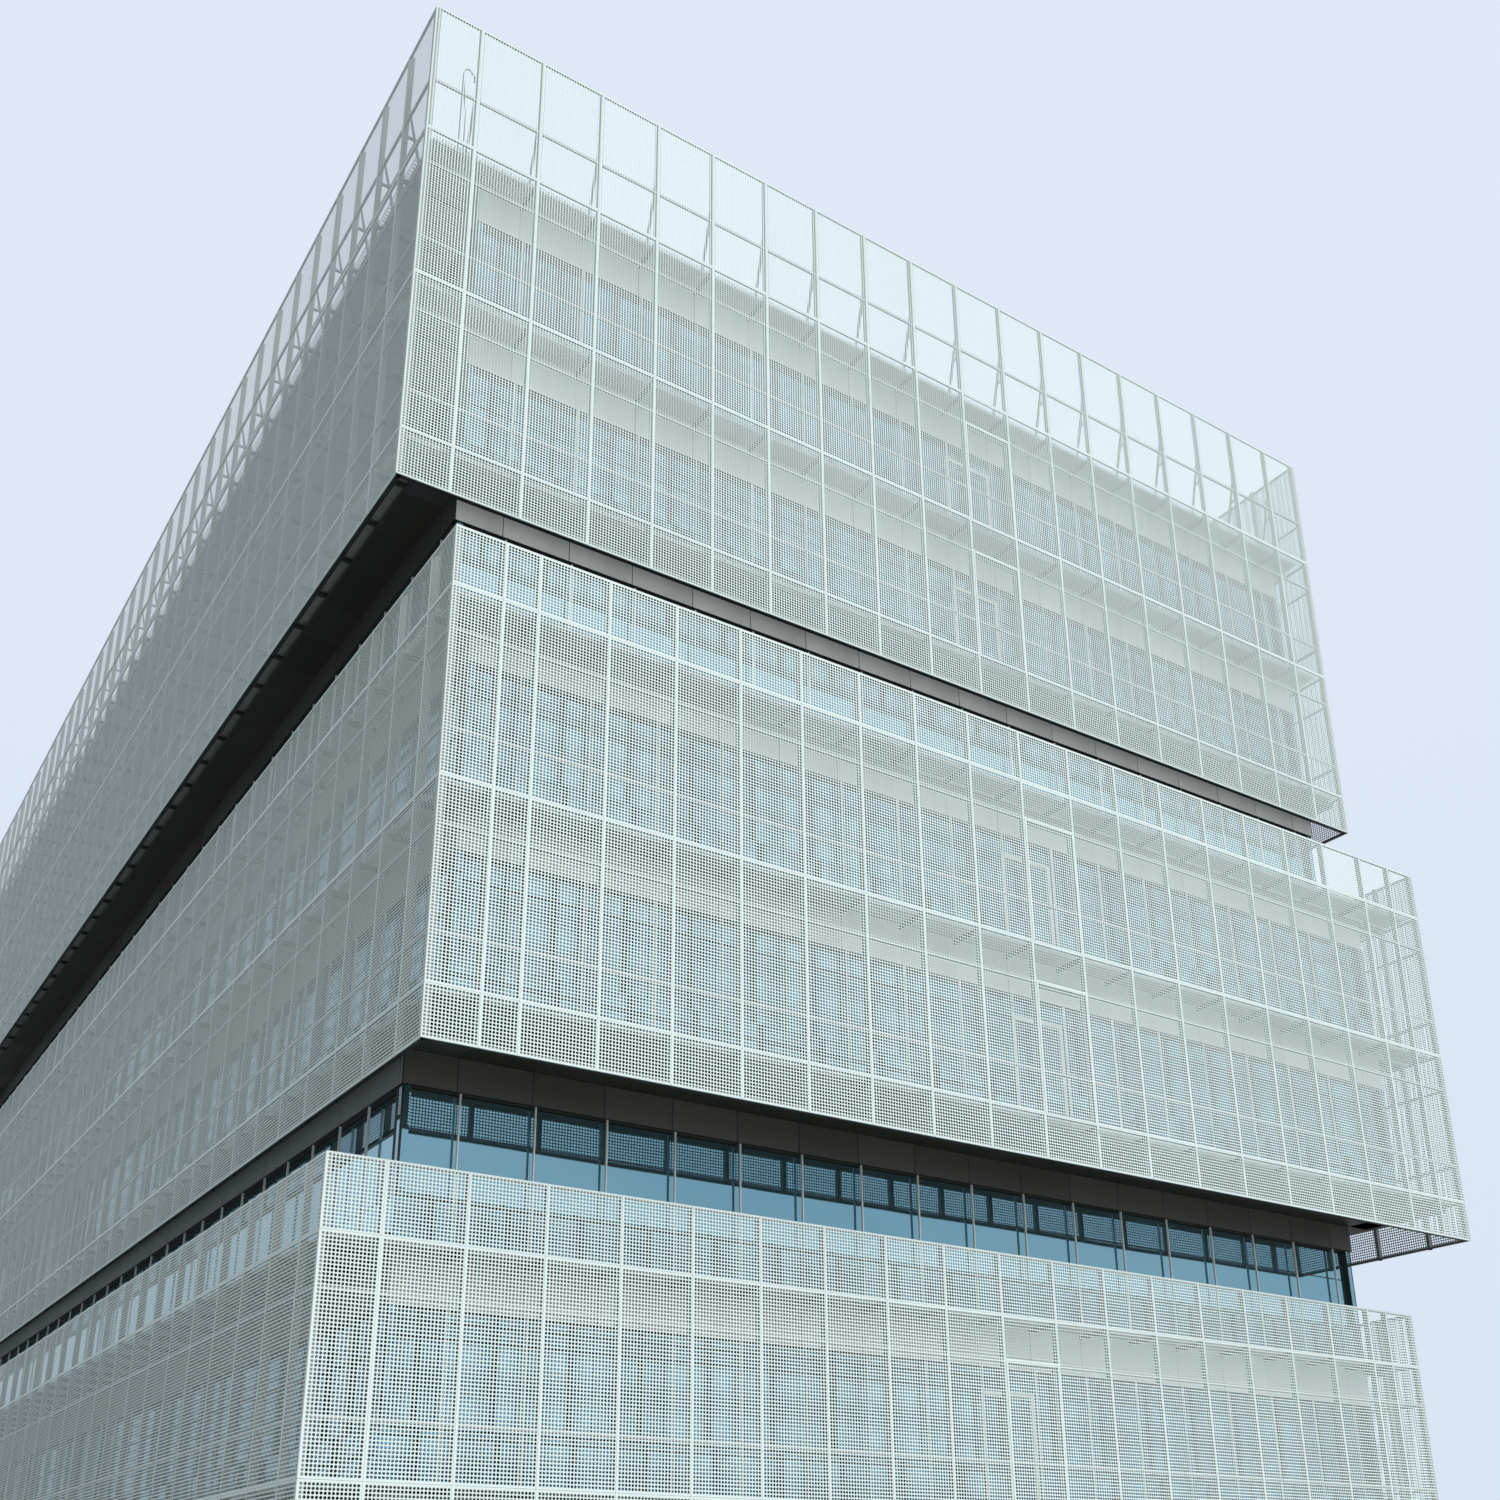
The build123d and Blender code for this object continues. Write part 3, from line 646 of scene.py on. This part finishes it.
for block in BLOCKS:
    lo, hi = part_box(f"{block}_gallery_decks")
    depths = overhangs((lo, hi), wall_box(block))
    rods, bars, edges = Guides(), new_drawing(), new_drawing()
    for face in block_faces(lo, hi):
        depth = depths[face.side]
        start = depths["front"] + past_wall if on_long_side(face) else end_gap
        ends = (start, face.length - start)
        for level in deck_levels(block):
            top, foot = level - tread_under_top, level - deck_depth
            centre, bars_top = (open_strip - depth) / 2, top - tread - bars_under_tread
            rods.add(face, (ends[0] + rod_step, bars_top, centre), (ends[1] - rod_step, bars_top, centre),
                     (1, depth + open_strip - 2 * edge_bar, 1))
            for place in (strip_bar, open_strip - grating_bar):
                add_bar(edges, face, ends, (foot + grating_bar, bars_top), (place, place + grating_bar))
            add_bar(bars, face, ends, (top - tread, top), (-depth + edge_bar, -edge_bar))
            for number in range(1, int(depth / grating_step)):
                place = -number * grating_step
                add_bar(bars, face, ends, (foot + grating_bar, bars_top), (place, place + grating_bar),
                        luck.random())
            add_bar(edges, face, ends, (foot, level), (-edge_bar, -edge_gap))
            add_bar(edges, face, ends, (foot - inner_edge_drop, level),
                    (-depth + edge_gap, -depth + edge_bar))
    finish_piece(bars, f"{block}_grating", [galvanised], [f"{block}_gallery_decks"])
    grow(bar_row, rods, f"{block}_grating_rods", "grating", step=rod_step, width=rod_width, depth=1.0,
         height=rod_depth, finish=galvanised)
    finish_piece(edges, f"{block}_grating_edges", [edge_steel])

    reaches, levels, arms = overhangs(screen_box(block), wall_box(block)), deck_levels(block), Guides()
    for face in block_faces(*screen_box(block)):
        reach = reaches[face.side]
        first_side, last_side = {"front": ("left", "right"), "back": ("right", "left"),
                                 "left": ("back", "front"), "right": ("front", "back")}[face.side]
        for line in post_lines(face):
            if reaches[first_side] < line < face.length - reaches[last_side]:
                place = -(frame_depth + reach) / 2
                arms.add(face, (line, levels[0] - deck_depth, place), (line, levels[-1] - deck_depth, place),
                         (1, reach - frame_depth, 1))
    grow(bar_row, arms, f"{block}_arms", "steel_arm", [f"{block}_gallery_arms"], step=storey * just_under,
         width=arm_width, depth=1.0, height=arm_depth, finish=arm_paint)

# Posts and rails of grey-painted steel tube carry the sheets, the rails let into the posts and painted
# near-black on their undersides as painted shade. A strip painted near-black as painted shade closes the foot
# of a screen that ends in the air, and cleats hold it there on the long sides.
closure_thickness, closure_inset, cleat_half, cleat_drop, cleat_back = 0.002, 0.015, 0.02, 0.014, 0.055
facing_down = -0.5
post_paint = weathered("post_paint", (0.25, 0.26, 0.265), 0.45, streak_scale=14.0)
rail_paint = weathered("rail_paint", (0.35, 0.37, 0.375), 0.45, streak_scale=14.0)
# The rails' faces that look down are painted near-black: painted shade where little light comes from below.
underside, facing, underside_shade = (rail_paint.node_tree.nodes.new(kind) for kind in (
    "ShaderNodeNewGeometry", "ShaderNodeSeparateXYZ", "ShaderNodeMix"))
below = rail_paint.node_tree.nodes.new("ShaderNodeMath")
below.operation = "LESS_THAN"
below.inputs[1].default_value = facing_down
underside_shade.data_type = "RGBA"
underside_shade.inputs["B"].default_value = (0.05, 0.055, 0.055, 1)
paint = rail_paint.node_tree.nodes["Principled BSDF"].inputs["Base Color"]
for source, target in ((underside.outputs["Normal"], facing.inputs["Vector"]),
                       (facing.outputs["Z"], below.inputs[0]),
                       (below.outputs["Value"], underside_shade.inputs["Factor"]),
                       (paint.links[0].from_socket, underside_shade.inputs["A"]),
                       (underside_shade.outputs["Result"], paint)):
    rail_paint.node_tree.links.new(source, target)
repaint(post_paint, *[f"{block}_screen_posts" for block in BLOCKS])
repaint(rail_paint, *[f"{block}_screen_rails" for block in BLOCKS])
# The foot strip and its cleats are painted near-black: painted shade for the dark underside of the screens.
closure_black = weathered("closure_black", (0.012, 0.013, 0.013), 0.6)
for block in ("middle", "upper"):
    lo, hi = screen_box(block)
    mesh = new_drawing()
    strip_foot = lo.z - closure_thickness
    for face in block_faces(lo, hi):
        add_bar(mesh, face, (closure_inset, face.length - closure_inset), (strip_foot, lo.z),
                (-frame_depth, -closure_inset))
        if on_long_side(face):
            for line in post_lines(face):
                add_bar(mesh, face, (line - cleat_half, line + cleat_half), (lo.z - cleat_drop, strip_foot),
                        (-cleat_back, -closure_inset))
    finish_piece(mesh, f"{block}_foot_closure", [closure_black])

# Perforated cassettes wrap the three blocks. Each is a shallow tray of aluminium, coil-coated white outside
# and grey inside, a storey high and a bay wide, with a blank margin round a square grid of punched holes.
# Strips screwed to the posts cover the upright joints, and a white lip turns in along the foot. A narrower
# leaf hangs in the rescue bay of the front.
hole_pitch, hole_diameter = 0.033, 0.0255
joint_gap, least_margin, least_row = 0.004, 0.007, 0.1
fold, face_depth, tray_depth = 0.0004, 0.0035, 0.0039
strip_width, strip_face, strip_back, strip_end, leaf_inset = 0.012, 0.0003, 0.0033, 0.002, 0.014
lip_depth, lip_end, lip_back = (0.002, 0.0002), 0.0005, 0.014


def joint_heights(low, high):
    """Where the rows of cassettes meet: the two edges and every floor line between them."""
    floors = [storey * n for n in range(1, storeys + 1)]
    return [low] + [level for level in floors if low + least_row < level < high - least_row] + [high]


def tray(mesh, face, left, right, foot, head, shade):
    """One cassette: a perforated field, its blank margin, a small bend and the return at each edge."""
    holes, tone = mesh.loops.layers.uv["holes"], mesh.faces.layers.float["tone"]
    width = right - left
    across = int((width - joint_gap - 2 * least_margin) / hole_pitch)
    up = int((head - foot - joint_gap - 2 * least_margin) / hole_pitch)
    middle = (left + width / 2, (foot + head) / 2)
    half_field = (across * hole_pitch / 2, up * hole_pitch / 2)
    half_tray = (width / 2 - joint_gap / 2, (head - foot) / 2 - joint_gap / 2)
    rings = []
    for half, depth in ((half_field, face_depth), ((half_tray[0] - fold, half_tray[1] - fold), face_depth),
                        (half_tray, face_depth + fold), (half_tray, tray_depth)):
        rings.append([mesh.verts.new(face.at(middle[0] + a * half[0], middle[1] + b * half[1], -depth))
                      for a, b in ((-1, -1), (1, -1), (1, 1), (-1, 1))])
    field = mesh.faces.new(rings[0])
    field.material_index, field[tone] = 0, shade
    for loop, (u, v) in zip(field.loops, ((0, 0), (across, 0), (across, up), (0, up))):
        loop[holes].uv = (u, v)
    for inner, outer in zip(rings, rings[1:]):
        for i in range(4):
            edge = mesh.faces.new((inner[i], outer[i], outer[(i + 1) % 4], inner[(i + 1) % 4]))
            edge.material_index, edge[tone] = 1, shade


def punch(material, diameter):
    """Cuts round holes through a sheet, one in each unit square of the map called holes."""
    new, link = material.node_tree.nodes.new, material.node_tree.links.new
    grid, cell, middle = new("ShaderNodeUVMap"), new("ShaderNodeVectorMath"), new("ShaderNodeVectorMath")
    reach, solid = new("ShaderNodeVectorMath"), new("ShaderNodeMath")
    grid.uv_map = "holes"
    cell.operation, middle.operation, reach.operation = "FRACTION", "SUBTRACT", "LENGTH"
    middle.inputs[1].default_value = (0.5, 0.5, 0)
    solid.operation = "GREATER_THAN"
    solid.inputs[1].default_value = diameter / hole_pitch / 2
    link(grid.outputs["UV"], cell.inputs[0])
    link(cell.outputs[0], middle.inputs[0])
    link(middle.outputs[0], reach.inputs[0])
    link(reach.outputs["Value"], solid.inputs[0])
    link(solid.outputs[0], material.node_tree.nodes["Principled BSDF"].inputs["Alpha"])


def coat_inside(material, colour):
    """Gives the reverse of a sheet its own plain back coat."""
    new, link = material.node_tree.nodes.new, material.node_tree.links.new
    side, coat = new("ShaderNodeNewGeometry"), new("ShaderNodeMix")
    coat.data_type = "RGBA"
    coat.inputs["B"].default_value = (*colour, 1)
    shader = material.node_tree.nodes["Principled BSDF"]
    link(side.outputs["Backfacing"], coat.inputs["Factor"])
    link(shader.inputs["Base Color"].links[0].from_socket, coat.inputs["A"])
    link(coat.outputs["Result"], shader.inputs["Base Color"])


coil_coating, back_coat = (0.745, 0.868, 0.868), (0.28, 0.29, 0.29)
coating_weather = {"streaks": 0.06, "clouding": 0.05, "panel_tone": 0.05}
blank_sheet = weathered("coil_coated_sheet", coil_coating, 0.42, **coating_weather)
punched_sheet = weathered("coil_coated_punched_sheet", coil_coating, 0.42, **coating_weather)
punch(punched_sheet, hole_diameter)
coat_inside(blank_sheet, back_coat)
coat_inside(punched_sheet, back_coat)
for block in BLOCKS:
    lo, hi = screen_box(block)
    strips = new_drawing()
    for face in block_faces(lo, hi):
        mesh = new_drawing()
        mesh.loops.layers.uv.new("holes")
        joints, levels = [0] + post_lines(face) + [face.length], joint_heights(lo.z, hi.z)
        for foot, head in zip(levels, levels[1:]):
            full_row, leaf_head = head - foot > storey - near, foot + window_head
            for start, end in zip(joints, joints[1:]):
                trays = [(start, foot, head)]
                if face.side == "front" and full_row and abs(lo.x + start - rescue_start) < near:
                    trays = [(start + leaf_inset, foot, leaf_head), (start, leaf_head, head)]
                for left, low, high in trays:
                    tray(mesh, face, left, end, low, high, luck.random())
        lip = (lo.z - lip_depth[0], lo.z - lip_depth[1])
        add_bar(strips, face, (lip_end, face.length - lip_end), lip, (-lip_back, -strip_face))
        for line in joints[1:-1]:
            add_bar(strips, face, (line - strip_width / 2, line + strip_width / 2),
                    (lo.z + strip_end, hi.z - strip_end), (-strip_back, -strip_face))
        finish_piece(mesh, f"{block}_cassettes_{face.side}", [punched_sheet, blank_sheet],
                     [f"{block}_screen_{face.side}"], closed=False)
    finish_piece(strips, f"{block}_joint_strips", [blank_sheet])


def screw_row_tree():
    """Node tree for pan-head screws at even steps along guide lines, each with its head facing outwards."""
    tree, given, place, real = row_tree("screw_row", (
        ("Step", 0.4), ("Head Radius", 0.005), ("Head Height", 0.001)))
    new, link = tree.nodes.new, tree.links.new
    head, turn, outwards = (new("GeometryNodeMeshCylinder"), new("FunctionNodeAlignRotationToVector"),
                            new("ShaderNodeVectorMath"))
    head.inputs["Vertices"].default_value = 6
    turn.axis = "Z"
    outwards.operation = "CROSS_PRODUCT"
    outwards.inputs[1].default_value = (0, 0, 1)
    for source, target in ((given.outputs["Head Radius"], head.inputs["Radius"]),
                           (given.outputs["Head Height"], head.inputs["Depth"]),
                           (line_value(tree, "along").outputs["Attribute"], outwards.inputs[0]),
                           (outwards.outputs[0], turn.inputs["Vector"]),
                           (head.outputs["Mesh"], place.inputs["Instance"]),
                           (turn.outputs["Rotation"], place.inputs["Rotation"]),
                           (place.outputs["Instances"], real.inputs["Geometry"])):
        link(source, target)
    return tree


screw_head, screw_step, screw_margin = 0.0035, 0.39, 0.06
screw_row = screw_row_tree()
screw_steel = weathered("painted_screw", (0.62, 0.66, 0.66), 0.35, metallic=0.2)
for block in BLOCKS:
    lo, hi = screen_box(block)
    screws = Guides()
    for face in block_faces(lo, hi):
        for line in post_lines(face):
            screws.add(face, (line, lo.z + screw_margin, -strip_face / 2),
                       (line, hi.z - screw_margin, -strip_face / 2))
    grow(screw_row, screws, f"{block}_screws", "perforated_sheet", step=screw_step, head_radius=screw_head,
         head_height=strip_face, finish=screw_steel)

# Steel bars of the posts' grey frame the rescue leaves in the front. Behind the roof screen, darker raking
# bars stand on the top gallery and hold each post, with a level tie, and long chords join them on the sides.
repaint(post_paint, "access_frames")
brace_paint = weathered("brace_paint", (0.20, 0.21, 0.215), 0.45, streak_scale=14.0)
repaint(brace_paint, "roof_braces", "roof_chords")

# Roof: a pale membrane laid in strips with welded laps over the slab, and a folded metal coping on the
# upstand of the walls.
lap_step, lap_width, lap_thickness, lap_end = 0.5, 0.04, 0.003, 0.01
coping_gap, coping_thickness, coping_back, coping_out, coping_bays = 0.004, 0.006, 0.155, 0.016, 4
membrane = weathered("roof_membrane", (0.42, 0.42, 0.40), 0.8, clouding=0.3)
lap_weld = weathered("lap_weld", (0.36, 0.36, 0.345), 0.7, clouding=0.2)
coping_metal = weathered("coping_metal", (0.45, 0.46, 0.46), 0.4, metallic=0.3, panel_tone=0.1)
repaint(membrane, "roof_slab")
roof_lo, roof_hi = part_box("roof_slab")
laps, lap_side, roof_width = Guides(), Face(roof_lo, roof_hi, "left"), roof_hi.x - roof_lo.x
lap_top, lap_middle = roof_hi.z + lap_thickness, -roof_width / 2
laps.add(lap_side, (lap_step, lap_top, lap_middle), (lap_side.length - lap_step, lap_top, lap_middle),
         (1, roof_width - 2 * lap_end, 1))
grow(bar_row, laps, "roof_laps", "concrete", step=lap_step, width=lap_width, depth=1.0,
     height=lap_thickness, finish=lap_weld)
coping = new_drawing()
wall_lo, wall_hi = wall_box("upper")
for face in block_faces(wall_lo, wall_hi):
    edges = [0] + face.lines[1::coping_bays] + [face.length]
    for start, end in zip(edges, edges[1:]):
        add_bar(coping, face, (start + coping_gap / 2, end - coping_gap / 2),
                (wall_hi.z, wall_hi.z + coping_thickness), (-coping_back, coping_out), luck.random())
finish_piece(coping, "roof_coping", [coping_metal])

# The davit on the corner of the roof gallery: a round mast with a hooked arm for hoisting, stayed by a bar
# beside it, with a block that hangs from the hook and a plate at the foot.
arm_radius, mast_inset = 0.009, 0.012
block_above, block_below, block_face, plate, plate_thickness = 0.10, 0.16, (-0.020, -0.010), 0.03, 0.012
davit_lo, davit_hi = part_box("roof_davit")
mast = Vector((davit_lo.x + mast_inset, (davit_lo.y + davit_hi.y) / 2, davit_lo.z))
arm_reach, arm_rise = davit_hi.x - davit_lo.x - 2 * mast_inset, davit_hi.z - davit_lo.z
hooked_arm = ((0, 0), (0, arm_rise - 0.12), (0.02, arm_rise - 0.03), (0.06, arm_rise - 0.01),
              (0.10, arm_rise - 0.04), (arm_reach, arm_rise - 0.09))
stay = ((0.055, 0), (0.05, arm_rise * 0.55), (0.006, arm_rise - 0.2))
davit_curve = bpy.data.curves.new("davit_bend", "CURVE")
davit_curve.dimensions, davit_curve.bevel_depth, davit_curve.bevel_resolution = "3D", arm_radius, 3
davit_curve.use_fill_caps = True
for stops in (hooked_arm, stay):
    run = davit_curve.splines.new("POLY")
    run.points.add(len(stops) - 1)
    for point, (across, up) in zip(run.points, stops):
        point.co = (mast.x + across, mast.y, mast.z + up, 1)
bend = bpy.data.objects.new("davit_bend", davit_curve)
bpy.context.scene.collection.objects.link(bend)
mesh = bmesh.new()
mesh.from_mesh(bpy.data.meshes.new_from_object(bend.evaluated_get(bpy.context.evaluated_depsgraph_get())))
mesh.faces.layers.float.new("tone")
bpy.data.objects.remove(bend)
side = Face(davit_lo, davit_hi, "front")
add_bar(mesh, side, (side.length - 2 * mast_inset, side.length),
        (davit_hi.z - block_below, davit_hi.z - block_above), block_face)
add_bar(mesh, side, (0.0, plate), (davit_lo.z, davit_lo.z + plate_thickness), (-plate, 0.0))
davit_paint = weathered("davit_paint", (0.14, 0.15, 0.15), 0.5)
finish_piece(mesh, "davit_arm", [davit_paint], ["roof_davit"])
